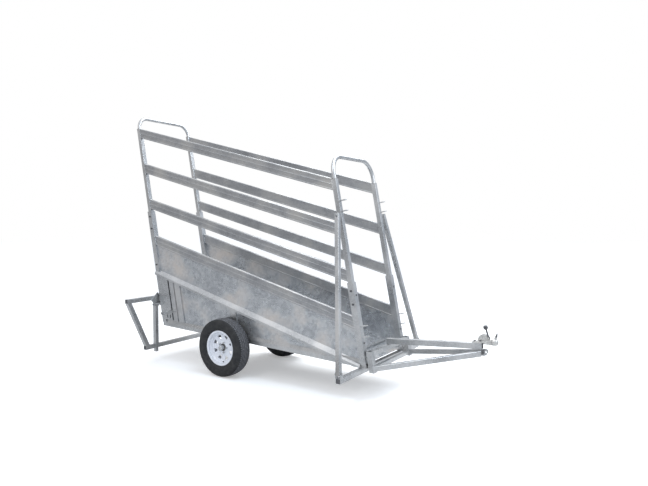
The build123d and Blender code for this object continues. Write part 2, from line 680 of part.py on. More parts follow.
with BuildPart() as stand_legs:
    for side in (1, -1):
        with BuildSketch(Plane.XY.offset(STAND_C_Z - TUBE / 2)):
            with Locations((STAND_X, side * STAND_LEG_Y)):
                ring(TUBE, TUBE, TUBE_T, 5.0)
        extrude(amount=STAND_A_Z - STAND_C_Z)
write(stand_legs, "stand_legs")

with BuildPart() as stand_slants:
    z0, z1 = STAND_C_Z + TUBE / 2, STAND_A_Z - TUBE / 2
    wide = 27.2
    for side in (1, -1):
        for grow, skin, mode in ((0.0, 0.0, Mode.ADD), (9.0, TUBE_T, Mode.SUBTRACT)):
            lean = (860.0 - 602.0) / (z1 - z0)
            w = wide - skin * 1.09
            inner = Plane(origin=(STAND_X - TUBE / 2 + skin, 0, 0), x_dir=(0, 1, 0), z_dir=(1, 0, 0))
            with BuildSketch(inner):
                with BuildLine():
                    Polyline((side * (602 - lean * grow - w), z0 - grow),
                             (side * (602 - lean * grow + w), z0 - grow),
                             (side * (860 + lean * grow + w), z1 + grow),
                             (side * (860 + lean * grow - w), z1 + grow),
                             close=True)
                make_face()
            extrude(amount=TUBE - 2 * skin, mode=mode)
write(stand_slants, "stand_slants")

for side, word in ((1, "left"), (-1, "right")):
    with BuildPart() as inner_leg:
        with BuildSketch(Plane.XY.offset(98.0)):
            with Locations((STAND_X, side * STAND_LEG_Y)):
                ring(INNER_LEG, INNER_LEG, TUBE_T, 4.0)
        extrude(amount=540)
        with BuildSketch(Plane.XY.offset(98.0)):
            with Locations((STAND_X, side * STAND_LEG_Y)):
                Rectangle(INNER_LEG - 2 * TUBE_T, INNER_LEG - 2 * TUBE_T)
        extrude(amount=5)
    write(inner_leg, "stand_foot_" + word)

# ---------------------------------------------------------------- drawbar
with BuildPart() as drawbar_knuckles:
    for side in (1, -1):
        with BuildSketch(side_plane(side * 389 + 4)):
            with BuildLine():
                Polyline(lean_point(POST_F + HALF_S, DRAW_PIVOT_Z + 24),
                         lean_point(POST_F + HALF_S, DRAW_PIVOT_Z - 14),
                         (DRAW_PIVOT_X, DRAW_PIVOT_Z - DRAW_EAR_R),
                         (DRAW_PIVOT_X, DRAW_PIVOT_Z + DRAW_EAR_R),
                         close=True)
            make_face()
            with Locations((DRAW_PIVOT_X, DRAW_PIVOT_Z)):
                Circle(DRAW_EAR_R)
        extrude(amount=8)
        with BuildSketch(Plane(origin=(DRAW_PIVOT_X, side * 380, DRAW_PIVOT_Z), x_dir=(1, 0, 0),
                               z_dir=(0, side, 0))):
            Circle(DRAW_PIN_R)
        extrude(amount=50)
write(drawbar_knuckles, "drawbar_knuckles")

with BuildPart() as head_channels:
    mid = (DRAW_REAR + DRAW_FRONT) / 2
    for side in (1, -1):
        for skin, grow, mode in ((0.0, 0.0, Mode.ADD), (4.0, 9.0, Mode.SUBTRACT)):
            with BuildSketch(span(side, DRAW_IN + skin, DRAW_OUT - skin)):
                with BuildLine():
                    Polyline(lean_point(DRAW_REAR + skin, DRAW_LOW - grow),
                             lean_point(DRAW_FRONT - skin, DRAW_LOW - grow),
                             lean_point(DRAW_FRONT - skin, DRAW_HIGH + grow - 4),
                             lean_point(DRAW_REAR + skin, DRAW_HIGH + grow - 4), close=True)
                make_face()
            extrude(amount=DRAW_OUT - DRAW_IN - 2 * skin, mode=mode)
        for y in (398.0, 420.0):
            with BuildSketch(side_plane(side * y + 4)):
                with BuildLine():
                    Polyline(lean_point(DRAW_REAR, DRAW_PIVOT_Z + 18),
                             lean_point(DRAW_REAR, DRAW_PIVOT_Z - 18),
                             (DRAW_PIVOT_X, DRAW_PIVOT_Z - DRAW_EAR_R),
                             (DRAW_PIVOT_X, DRAW_PIVOT_Z + DRAW_EAR_R),
                         close=True)
                make_face()
                with Locations((DRAW_PIVOT_X, DRAW_PIVOT_Z)):
                    Circle(DRAW_EAR_R)
                    Circle(DRAW_PIN_R + RUNNING, mode=Mode.SUBTRACT)
            extrude(amount=8)
write(head_channels, "head_channels")

with BuildPart() as head_bars:
    for x, z, w, h in ((1786.5, 459.7, 43.0, 45.0), (1813.0, 320.0, 38.0, 40.0)):
        with BuildSketch(Plane(origin=(x, DRAW_IN, z), x_dir=(1, 0, 0), z_dir=(0, -1, 0))):
            ring(w, h, 3.0)
        extrude(amount=2 * DRAW_IN)
write(head_bars, "head_bars")

ARM_A = atan((ARM_END[1] - ARM_START[1]) / (ARM_END[0] - ARM_START[0]))
with BuildPart() as centre_arm:
    with BuildSketch(along((ARM_START[0], 0, ARM_START[1] + 2), (ARM_END[0], 0, ARM_END[1] + 2))):
        ring(ARM_W, ARM_H, 4.0, 5.0)
    extrude(amount=hypot(ARM_END[0] - ARM_START[0], ARM_END[1] - ARM_START[1]))
write(centre_arm, "centre_arm")

with BuildPart() as side_arms:
    for side in (1, -1):
        p, q = (1800.0, side * 431.0, 320.0), (2745.0, side * 43.0, 521.0)
        with BuildSketch(along(p, q, x_dir=(0.38, side * -0.92 * -1, 0))):
            ring(TUBE, TUBE, TUBE_T, 5.0)
        extrude(amount=(Vector(*q) - Vector(*p)).length)
    with BuildSketch(side_plane(700)):
        with BuildLine():
            Polyline(lean_point(DRAW_FRONT, 0), (4000, 0), (4000, 1500), lean_point(DRAW_FRONT, 1500),
                     close=True)
        make_face()
    extrude(amount=1400, mode=Mode.INTERSECT)
write(side_arms, "side_arms")

ARM_UNDER = ARM_H / 2 / cos(ARM_A) - 2
with BuildPart() as arm_bracket:
    under = [(x, ARM_START[1] + (x - ARM_START[0]) * tan(ARM_A) - ARM_UNDER) for x in (2650.0, 2742.0)]
    with BuildSketch(side_plane(14)):
        with BuildLine():
            Polyline(under[0], under[1], (2742, 490), (2706, 490), (2650, 534), close=True)
        make_face()
    extrude(amount=28)
    with BuildSketch(side_plane(8)):
        with BuildLine():
            Polyline((2742, 492), (2742, 550), (2752, 550), (2775, 562), (2798, 552), (2801, 530),
                     (2782, 500),
                     (2764, 492), close=True)
        make_face()
        with Locations((2776, 530)):
            Circle(11, mode=Mode.SUBTRACT)
    extrude(amount=16)
write(arm_bracket, "arm_bracket")

TOP_END = ARM_END[1] + 2 + ARM_H / 2 / cos(ARM_A)
with BuildPart() as coupling_body:
    slope = tan(ARM_A)
    with BuildSketch(side_plane(24)):
        with BuildLine():
            Polyline((2655, TOP_END - 91 * slope), (2760, TOP_END + 14 * slope), (2760, 604), (2835, 604),
                     (2835, 646), (2790, 646), (2745, 629), (2655, 621), close=True)
        make_face()
    extrude(amount=48)
    with Locations((BALL_X, 0, BALL_Z)):
        Sphere(36)
    with BuildSketch(Plane.XY.offset(540)):
        with Locations((BALL_X, 0)):
            Rectangle(120, 120)
    extrude(amount=60, mode=Mode.SUBTRACT)
    with Locations((BALL_X, 0, BALL_Z)):
        Sphere(SOCKET_R, mode=Mode.SUBTRACT)
    with BuildSketch(Plane.XY.offset(590)):
        with Locations((BALL_X, 0)):
            Circle(SOCKET_R)
    extrude(amount=BALL_Z - 590, mode=Mode.SUBTRACT)
    for y in (8.0, -14.0):
        with BuildSketch(side_plane(y + 6)):
            with BuildLine():
                Polyline((HANDLE_PIVOT[0] - 16, 656), (HANDLE_PIVOT[0] + 7, 656),
                         (HANDLE_PIVOT[0] + 7, HANDLE_PIVOT[1]), (HANDLE_PIVOT[0] - 7, HANDLE_PIVOT[1]),
                         close=True)
            make_face()
            with Locations(HANDLE_PIVOT):
                Circle(7)
        extrude(amount=6)
    with BuildSketch(side_plane(14)):
        with Locations(HANDLE_PIVOT):
            Circle(3.0)
    extrude(amount=28)
write(coupling_body, "coupling_body")

with BuildPart() as coupling_bolts:
    for x in (2672.0, 2728.0):
        for y in (14.0, -14.0):
            z = 621.02 + (x - 2655) * (8.0 / 90.0)
            with BuildSketch(Plane(origin=(x, y, z), x_dir=(90, 0, 8), z_dir=(-8, 0, 90))):
                RegularPolygon(8.5, 6)
            extrude(amount=7)
write(coupling_bolts, "coupling_bolts")

LX, LZ = LEVER_PIVOT
with BuildPart() as brake_sector:
    with BuildSketch(side_plane(4)):
        with BuildLine():
            Polyline((2702, 621 + 47 * 8 / 90), (2745, 629), (2790, 646), (2812, 646), (2820, 660),
                     (2814, 676))
            ThreePointArc((2814, 676), (2762, 697), (2702, 621 + 47 * 8 / 90))
        make_face()
    extrude(amount=8)
    for y, r, run in ((4.0, 6.0, 19.0), (-15.0, 9.0, 3.0)):
        with BuildSketch(side_plane(y)):
            with Locations(LEVER_PIVOT):
                Circle(r)
        extrude(amount=run)
write(brake_sector, "brake_sector")

with BuildPart() as brake_lever:
    turn = degrees(atan((LX - LEVER_KNOB[0]) / (LEVER_KNOB[1] - LZ)))
    reach = hypot(LX - LEVER_KNOB[0], LEVER_KNOB[1] - LZ)
    with BuildSketch(side_plane(-6)):
        with Locations(LEVER_PIVOT):
            Circle(12)
            with Locations(Location((0, 0), turn)):
                with Locations((0, reach / 2)):
                    Rectangle(14, reach)
            Circle(6.0 + RUNNING, mode=Mode.SUBTRACT)
    extrude(amount=8)
    with BuildSketch(Plane(origin=(LEVER_KNOB[0], -10, LEVER_KNOB[1]), x_dir=(0, 1, 0),
                           z_dir=(LZ - LEVER_KNOB[1], 0, LEVER_KNOB[0] - LX))):
        with BuildLine():
            Line((0, -22), (0, 22))
            ThreePointArc((0, 22), (22, 0), (0, -22))
        make_face()
    revolve(axis=Axis((LEVER_KNOB[0], -10, LEVER_KNOB[1]), (LEVER_KNOB[0] - LX, 0, LEVER_KNOB[1] - LZ)))
write(brake_lever, "brake_lever")

HX, HZ = HANDLE_PIVOT
with BuildPart() as release_handle:
    with BuildSketch(side_plane(7)):
        with BuildLine():
            Polyline((HX - 7, HZ), (HX + 7, HZ), (HX + 15, HZ + 10), (HX + 17, 716), (HX + 11, 716),
                     (HX - 2, HZ + 14), close=True)
        make_face()
        with Locations(HANDLE_PIVOT):
            Circle(7)
            Circle(3.0 + RUNNING, mode=Mode.SUBTRACT)
    extrude(amount=14)
write(release_handle, "release_handle")
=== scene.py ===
import json
import bpy
import numpy as np
from math import atan, cos, radians
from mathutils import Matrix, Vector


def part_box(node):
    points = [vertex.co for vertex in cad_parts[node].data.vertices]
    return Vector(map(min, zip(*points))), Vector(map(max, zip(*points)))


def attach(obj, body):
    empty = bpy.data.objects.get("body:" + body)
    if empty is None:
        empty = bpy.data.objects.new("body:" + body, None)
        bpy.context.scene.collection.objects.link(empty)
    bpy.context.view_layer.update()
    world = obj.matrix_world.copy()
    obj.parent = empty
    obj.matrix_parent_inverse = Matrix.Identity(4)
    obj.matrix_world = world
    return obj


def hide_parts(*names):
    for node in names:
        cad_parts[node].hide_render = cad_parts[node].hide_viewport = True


# Looks of the portable cattle loading ramp: galvanised race, wheels, braces, stand and drawbar.
# Metres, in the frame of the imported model: X forward to the coupling, Y left, Z up.
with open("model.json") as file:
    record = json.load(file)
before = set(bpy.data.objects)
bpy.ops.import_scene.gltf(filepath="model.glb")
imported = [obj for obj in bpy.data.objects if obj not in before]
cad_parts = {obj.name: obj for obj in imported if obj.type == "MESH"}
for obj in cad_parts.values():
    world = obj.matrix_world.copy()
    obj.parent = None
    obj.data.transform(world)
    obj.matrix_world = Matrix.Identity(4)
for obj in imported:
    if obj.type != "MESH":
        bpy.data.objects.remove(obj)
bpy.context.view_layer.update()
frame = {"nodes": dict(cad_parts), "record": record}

LEAN = 0.1918            # posts lean back by this much for each metre of height
DECK_SLOPE = 0.2573      # fall of deck and rails towards the coupling
FRAME_SLOPE = 0.0396     # fall of the bottom rails
RAIL_DEPTH = 0.112 / cos(atan(DECK_SLOPE))
SIDE_SHEET_DEPTH = 0.3207
SHEET_THICK = 0.002
SIDES = ((1, "left"), (-1, "right"))


# ---------------------------------------------------------------- mesh tools
def quads(points, wrap_rows, wrap_columns):
    """Faces of a grid of points: each cell joins (i, j), (i+1, j), (i+1, j+1), (i, j+1)."""
    rows, columns = points.shape[:2]
    i, j = np.meshgrid(np.arange(rows if wrap_rows else rows - 1),
                       np.arange(columns if wrap_columns else columns - 1), indexing="ij")
    i2, j2 = (i + 1) % rows, (j + 1) % columns
    cells = [i * columns + j, i2 * columns + j, i2 * columns + j2, i * columns + j2]
    return np.stack(cells, axis=-1).reshape(-1, 4)


def volume(points, faces):
    """Signed volume of closed quads: a sixth of the sum of a . (b x c) over their triangles."""
    p = points.reshape(-1, 3) - points.reshape(-1, 3).mean(axis=0)
    a, b, c, d = (p[faces[:, k]] for k in range(4))
    return (np.einsum("ij,ij->i", a, np.cross(b, c)) + np.einsum("ij,ij->i", a, np.cross(c, d))).sum()


def shell(points, ring=False):
    """A closed skin: the columns go round, and the rows either go round too or end in two flat caps."""
    faces = quads(points, ring, True)
    rows, columns = points.shape[:2]
    last = (rows - 1) * columns
    ends = [] if ring else [list(range(columns)), list(range(rows * columns - 1, last - 1, -1))]
    turned = volume(points, faces) < 0
    made = faces[:, ::-1].tolist() if turned else faces.tolist()
    return points.reshape(-1, 3), made + [e[::-1] if turned else e for e in ends]


def piece(name, body, material, shells, crease=35.0):
    """One object from closed skins, riding on a body, smooth except at edges sharper than crease degrees."""
    points, faces, start = [], [], 0
    for skin, cells in shells:
        points.append(skin)
        faces += [[k + start for k in cell] for cell in cells]
        start += len(skin)
    mesh = bpy.data.meshes.new(name)
    mesh.from_pydata(np.concatenate(points).tolist(), [], faces)
    mesh.shade_smooth()
    mesh.set_sharp_from_angle(angle=radians(crease))
    mesh.materials.append(material)
    made = bpy.data.objects.new(name, mesh)
    bpy.context.scene.collection.objects.link(made)
    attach(made, body)
    return made


def fillet(corners, radius, steps=5):
    """Closed outline with each corner rounded by an arc: p + quadratic blend of its two edges."""
    p = np.array(corners, dtype=float)
    before, after = np.roll(p, 1, axis=0) - p, np.roll(p, -1, axis=0) - p
    r = np.broadcast_to(np.array(radius, dtype=float), (len(p),))[:, None]
    a = p + before / np.linalg.norm(before, axis=1)[:, None] * r
    b = p + after / np.linalg.norm(after, axis=1)[:, None] * r
    t = np.linspace(0, 1, steps)[None, :, None]
    arc = (1 - t) ** 2 * a[:, None] + 2 * t * (1 - t) * p[:, None] + t ** 2 * b[:, None]
    return arc.reshape(-1, 2)


def smooth_through(points, steps):
    """Catmull-Rom curve through the points, with steps samples on each stretch."""
    p = np.array(points, dtype=float)
    p = np.concatenate([2 * p[:1] - p[1:2], p, 2 * p[-1:] - p[-2:-1]])
    t = np.linspace(0, 1, steps, endpoint=False)[None, :, None]
    a, b, c, d = (p[k:len(p) - 3 + k, None] for k in range(4))
    curve = 0.5 * (2 * b + (c - a) * t + (2 * a - 5 * b + 4 * c - d) * t ** 2
                   + (3 * b - a - 3 * c + d) * t ** 3)
    return np.concatenate([curve.reshape(-1, p.shape[1]), p[-2:-1]])


def frame_of(direction):
    """Two unit vectors square to a direction and to each other."""
    d = np.array(direction, dtype=float)
    d /= np.linalg.norm(d)
    side = np.cross(d, (0, 0, 1) if abs(d[2]) < 0.9 else (1, 0, 0))
    side /= np.linalg.norm(side)
    return d, side, np.cross(side, d)


def turned_shape(centre, direction, profile, around=32):
    """Surface of revolution: centre + h * direction + r * (cos t, sin t), for a profile of (r, h) pairs."""
    d, e, f = frame_of(direction)
    t = np.linspace(0, 2 * np.pi, around, endpoint=False)
    r, h = np.array(profile, dtype=float).T
    ring = np.cos(t)[:, None] * e + np.sin(t)[:, None] * f
    return shell(np.array(centre) + h[:, None, None] * d + r[:, None, None] * ring[None])


def weld_bead(start, end, radius=0.0028, pitch=0.005):
    """Rippled bead: a round skin along a line, radius R (1 + 0.16 sin(2 pi s / pitch)), closed to a point."""
    start, end = np.array(start, dtype=float), np.array(end, dtype=float)
    length = np.linalg.norm(end - start)
    d, e, f = frame_of(end - start)
    s = np.linspace(0, length, max(8, int(length / pitch * 4)))
    taper = np.sqrt(np.clip(1 - (2 * s / length - 1) ** 8, 0.01, 1))
    r = radius * taper * (1 + 0.16 * np.sin(2 * np.pi * s / pitch))
    t = np.linspace(0, 2 * np.pi, 8, endpoint=False)
    ring = np.cos(t)[:, None] * e + np.sin(t)[:, None] * f
    return shell(start + s[:, None, None] * d + r[:, None, None] * ring[None])


def meet(base, through, slope, drop=0.0):
    """Where the leaning line x = base - LEAN z crosses the sloping line through a point, drop below it."""
    z = (through[1] - drop - slope * (base - through[0])) / (1 - slope * LEAN)
    return base - LEAN * z, z


# ---------------------------------------------------------------- shader groups
def group(name, inputs, outputs):
    """Empty shader group with float inputs (name: default) and outputs (name: socket type)."""
    tree = bpy.data.node_groups.new(name, "ShaderNodeTree")
    for label, value in inputs.items():
        tree.interface.new_socket(label, in_out="INPUT", socket_type="NodeSocketFloat").default_value = value
    for label, kind in outputs.items():
        tree.interface.new_socket(label, in_out="OUTPUT", socket_type=kind)
    return tree, tree.nodes.new("NodeGroupInput"), tree.nodes.new("NodeGroupOutput")


def node(tree, kind, settings=(), **inputs):
    """A node with its settings and inputs; an input that is a socket is linked, any other is its value."""
    made = tree.nodes.new("ShaderNode" + kind)
    for key, value in dict(settings).items():
        setattr(made, key, value)
    for key, value in inputs.items():
        socket = made.inputs[int(key[1:]) if key[0] == "i" and key[1:].isdigit() else key.replace("_", " ")]
        if isinstance(value, bpy.types.NodeSocket):
            tree.links.new(value, socket)
        else:
            socket.default_value = value
    return made


def maths(tree, operation, a, b=0.0, clamp=False):
    return node(tree, "Math", {"operation": operation, "use_clamp": clamp}, i0=a, i1=b).outputs[0]


def remap(tree, value, low, high, to_low=0.0, to_high=1.0):
    """Value from low..high to to_low..to_high, held at the ends."""
    return node(tree, "MapRange", i0=value, i1=low, i2=high, i3=to_low, i4=to_high).outputs[0]


def mix(tree, factor, a, b):
    """Colour a where factor is 0, b where it is 1."""
    made = node(tree, "Mix", {"data_type": "RGBA"})
    for socket, value in ((made.inputs[0], factor), (made.inputs[6], a), (made.inputs[7], b)):
        if isinstance(value, bpy.types.NodeSocket):
            tree.links.new(value, socket)
        else:
            socket.default_value = value if isinstance(value, float) else (*value, 1.0)
    return made.outputs[2]


def zinc_bloom_group():
    """Hot-dip zinc: crystal facets, each of its own tone, under broad clouds; Relief follows the facets."""
    tree, inside, out = group("zinc_bloom", {"Crystal": 60.0, "Cloud": 3.0},
                              {"Tone": "NodeSocketFloat", "Clouds": "NodeSocketFloat",
                               "Relief": "NodeSocketFloat"})
    place = node(tree, "TexCoord").outputs["Object"]
    warp = node(tree, "TexNoise", Vector=place, Scale=9.0, Detail=2.0)
    bent = node(tree, "VectorMath", {"operation": "MULTIPLY_ADD"}, i0=warp.outputs["Color"],
                i1=(0.02, 0.02, 0.02), i2=place).outputs[0]
    facets = node(tree, "TexVoronoi", Vector=bent, Scale=inside.outputs["Crystal"])
    tone = node(tree, "SeparateColor", Color=facets.outputs["Color"]).outputs[0]
    clouds = node(tree, "TexNoise", Vector=place, Scale=inside.outputs["Cloud"], Detail=5.0, Roughness=0.55)
    fine = node(tree, "TexNoise", Vector=place, Scale=240.0, Detail=3.0)
    tree.links.new(tone, out.inputs["Tone"])
    tree.links.new(clouds.outputs[0], out.inputs["Clouds"])
    relief = maths(tree, "ADD", maths(tree, "MULTIPLY", tone, 0.5), fine.outputs[0])
    tree.links.new(relief, out.inputs["Relief"])
    return tree


def rub_marks_group():
    """Short slanting handling marks: thin stretched noise, kept only where a broad patch noise is high."""
    tree, inside, out = group("rub_marks", {"Amount": 0.5}, {"Mask": "NodeSocketFloat"})
    place = node(tree, "TexCoord").outputs["Object"]
    slanted = node(tree, "Mapping", Vector=place, Rotation=(0.0, radians(38), 0.0), Scale=(9.0, 9.0, 150.0))
    lines = node(tree, "TexNoise", Vector=slanted.outputs[0], Scale=1.0, Detail=4.0, Roughness=0.7)
    patch = node(tree, "TexNoise", Vector=place, Scale=2.6, Detail=2.0)
    thin = remap(tree, lines.outputs[0], 0.60, 0.70)
    where = remap(tree, patch.outputs[0], 0.46, 0.62)
    marks = maths(tree, "MULTIPLY", maths(tree, "MULTIPLY", thin, where), inside.outputs["Amount"])
    tree.links.new(marks, out.inputs["Mask"])
    return tree


def dust_group():
    """Dust and dried splash: strongest low down, broken up by noise."""
    tree, inside, out = group("dust", {"Top": 0.6, "Amount": 0.5}, {"Mask": "NodeSocketFloat"})
    place = node(tree, "TexCoord").outputs["Object"]
    height = node(tree, "SeparateXYZ", Vector=place).outputs[2]
    low = maths(tree, "SUBTRACT", 1.0, maths(tree, "DIVIDE", height, inside.outputs["Top"]), clamp=True)
    broken = node(tree, "TexNoise", Vector=place, Scale=22.0, Detail=6.0, Roughness=0.65)
    speckled = remap(tree, broken.outputs[0], 0.40, 0.75)
    settled = maths(tree, "MULTIPLY", low, speckled)
    mask = maths(tree, "MULTIPLY", settled, inside.outputs["Amount"], clamp=True)
    tree.links.new(mask, out.inputs["Mask"])
    return tree


GROUPS = {"zinc_bloom": zinc_bloom_group(), "rub_marks": rub_marks_group(), "dust": dust_group()}


def place_group(tree, name, **values):
    made = tree.nodes.new("ShaderNodeGroup")
    made.node_tree = GROUPS[name]
    for key, value in values.items():
        made.inputs[key].default_value = value
    return made.outputs


def finish_of(made, colour, roughness, relief, strength, distance, **constants):
    """The material's own shader: colour and roughness from nodes, constants on its sockets."""
    material, tree = made
    shader = tree.nodes["Principled BSDF"]
    tree.links.new(colour, shader.inputs["Base Color"])
    tree.links.new(roughness, shader.inputs["Roughness"])
    bump = node(tree, "Bump", Strength=strength, Distance=distance, Height=relief)
    tree.links.new(bump.outputs[0], shader.inputs["Normal"])
    for key, value in constants.items():
        shader.inputs[key.replace("_", " ")].default_value = value
    return material


def blank(name):
    material = bpy.data.materials.new(name)
    material.use_nodes = True
    return material, material.node_tree


def galvanised(name, dark, light, painted_warm_reflection, crystal, rough, marks, dust=0.35, metallic=0.85, relief=0.12):
    """Zinc coat: facets run from dark to light, clouds lean to a painted warm reflection, marks are brighter
    and duller.
    """
    material, tree = blank(name)
    bloom = place_group(tree, "zinc_bloom", Crystal=crystal)
    rubs = place_group(tree, "rub_marks", Amount=marks)["Mask"]
    grime = place_group(tree, "dust", Amount=dust)["Mask"]
    tone = maths(tree, "ADD", maths(tree, "MULTIPLY", bloom["Tone"], 0.35),
                 remap(tree, bloom["Clouds"], 0.3, 0.7, 0.0, 0.65))
    coat = mix(tree, tone, dark, light)
    # The broad clouds mix in a warm tint: a painted warm reflection laid into the coat's colour.
    coat = mix(tree, remap(tree, bloom["Clouds"], 0.48, 0.70, 0.0, 0.7), coat, painted_warm_reflection)
    coat = mix(tree, rubs, coat, (0.93, 0.95, 0.97))
    coat = mix(tree, grime, coat, (0.34, 0.31, 0.27))
    dull = maths(tree, "ADD", remap(tree, bloom["Clouds"], 0.3, 0.7, rough - 0.07, rough + 0.09),
                 maths(tree, "MULTIPLY", maths(tree, "ADD", rubs, grime), 0.25), clamp=True)
    return finish_of((material, tree), coat, dull, bloom["Relief"], relief, 0.0006, Metallic=metallic)


def rubber():
    """Tyre rubber: near black in walls and grooves, scuffed grey on the running faces far from the axle."""
    material, tree = blank("tyre_rubber_black")
    grime = place_group(tree, "dust", Top=1.6, Amount=0.45)["Mask"]
    place = node(tree, "TexCoord").outputs["Object"]
    grain = node(tree, "TexNoise", Vector=place, Scale=420.0, Detail=3.0).outputs[0]
    colour = mix(tree, grime, (0.018, 0.019, 0.021), (0.105, 0.101, 0.095))
    low, high = (np.array(c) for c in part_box("tyre_left"))
    axle = (float(low[0] + high[0]) / 2, 0.0, float(low[2] + high[2]) / 2)
    from_axle = node(tree, "VectorMath", {"operation": "SUBTRACT"}, i0=place, i1=axle).outputs[0]
    across = node(tree, "VectorMath", {"operation": "MULTIPLY"}, i0=from_axle, i1=(1.0, 0.0, 1.0)).outputs[0]
    reach = node(tree, "VectorMath", {"operation": "LENGTH"}, i0=across).outputs[1]
    running = remap(tree, reach, 0.3165, 0.3185)
    colour = mix(tree, maths(tree, "MULTIPLY", running, 0.85), colour, (0.155, 0.155, 0.165))
    dull = remap(tree, grain, 0.3, 0.7, 0.48, 0.68)
    return finish_of((material, tree), colour, dull, grain, 0.25, 0.0004, Specular_IOR_Level=0.42)


def enamel(name, colour, chipped, rough, grime_amount):
    """Sprayed enamel: faint orange peel, dust low down, small chips to a darker base."""
    material, tree = blank(name)
    place = node(tree, "TexCoord").outputs["Object"]
    peel = node(tree, "TexNoise", Vector=place, Scale=180.0, Detail=2.0).outputs[0]
    chips = remap(tree, node(tree, "TexNoise", Vector=place, Scale=70.0, Detail=4.0).outputs[0], 0.70, 0.74)
    grime = place_group(tree, "dust", Top=0.9, Amount=grime_amount)["Mask"]
    coat = mix(tree, chips, mix(tree, grime, colour, (0.42, 0.39, 0.35)), chipped)
    dull = remap(tree, grime, 0.0, 1.0, rough, rough + 0.35)
    return finish_of((material, tree), coat, dull, peel, 0.06, 0.0004, Coat_Weight=0.5, Coat_Roughness=0.12)


def plated(name, bright, shade, rough, metallic=0.9):
    """Plated steel or casting: grain in two tones, smoothed by handling."""
    material, tree = blank(name)
    place = node(tree, "TexCoord").outputs["Object"]
    grain = node(tree, "TexNoise", Vector=place, Scale=95.0, Detail=5.0, Roughness=0.6).outputs[0]
    grime = place_group(tree, "dust", Top=1.2, Amount=0.3)["Mask"]
    coat = mix(tree, grime, mix(tree, remap(tree, grain, 0.35, 0.65), shade, bright), (0.20, 0.18, 0.16))
    dull = remap(tree, grain, 0.3, 0.7, rough - 0.08, rough + 0.12)
    return finish_of((material, tree), coat, dull, grain, 0.18, 0.0005, Metallic=metallic)


MATERIALS = {
    "galvanised_tube": galvanised("galvanised_tube_satin", (0.40, 0.405, 0.41), (0.71, 0.715, 0.72),
                                  (0.68, 0.665, 0.65), 90.0, 0.30, 0.25),
    "galvanised_sheet": galvanised("galvanised_sheet_bright", (0.33, 0.345, 0.365), (0.73, 0.745, 0.76),
                                   (0.71, 0.64, 0.58), 34.0, 0.28, 0.90, metallic=0.74, relief=0.07),
    "galvanised_rail": galvanised("galvanised_rail_dull", (0.32, 0.325, 0.34), (0.55, 0.555, 0.56),
                                  (0.56, 0.54, 0.51), 75.0, 0.34, 0.35),
    "tyre_rubber": rubber(),
    "white_rim": enamel("white_rim_enamel", (0.90, 0.93, 1.0), (0.45, 0.44, 0.44), 0.28, 0.25),
    "hub_steel": plated("hub_plated_steel", (0.78, 0.79, 0.80), (0.50, 0.51, 0.52), 0.22),
    "plated_coupling": plated("coupling_zinc_casting", (0.84, 0.83, 0.80), (0.52, 0.51, 0.49), 0.38),
    "zinc_bolt": plated("dark_zinc_fasteners", (0.20, 0.20, 0.21), (0.09, 0.09, 0.095), 0.44),
    "axle_paint": enamel("axle_black_enamel", (0.020, 0.021, 0.023), (0.18, 0.15, 0.13), 0.34, 0.5),
}


DARKER = {"brake_lever": "zinc_bolt", "release_handle": "zinc_bolt"}


def dress_cad_nodes():
    """Gives every CAD node the finish of its record slot; the two hand controls are dark zinc."""
    slot_of = {part["node"]: part["material_slot"] for part in frame["record"]["subparts"]}
    for name, made in frame["nodes"].items():
        if not made.data.materials:
            made.data.materials.append(None)
        for holder in made.material_slots:
            holder.material = MATERIALS[DARKER.get(name, slot_of[name])]


# ---------------------------------------------------------------- wheels
def tread_depth(y, angle):
    """Zigzag grooves y = c + a tri(40 t), and short shoulder notches, as a depth in metres."""
    wave = 2 * np.abs((angle * 40 / (2 * np.pi)) % 1 - 0.5) * 2 - 1
    depth = np.zeros(np.broadcast(y, angle).shape)
    for centre, way in ((-0.042, 1), (-0.0145, -1), (0.0145, 1), (0.042, -1)):
        off = np.abs(y - centre - way * 0.0045 * wave)
        depth = np.maximum(depth, 0.0085 * np.clip((0.0048 - off) / 0.0018, 0, 1))
    notch = np.clip((0.30 - np.abs((angle * 80 / (2 * np.pi)) % 1 - 0.5)) / 0.12, 0, 1)
    shoulder = np.clip((np.abs(y) - 0.054) / 0.004, 0, 1) * np.clip((0.072 - np.abs(y)) / 0.004, 0, 1)
    cross = np.clip((0.14 - np.abs((angle * 80 / (2 * np.pi) + 0.5 * (y > 0)) % 1 - 0.5)) / 0.08, 0, 1)
    ribs = np.clip((0.036 - np.abs(y)) / 0.003, 0, 1)
    sipes = 0.003 * cross * ribs * (np.abs(y) > 0.019)
    return np.maximum(depth, np.maximum(0.0035 * (1 - notch) * shoulder, sipes))


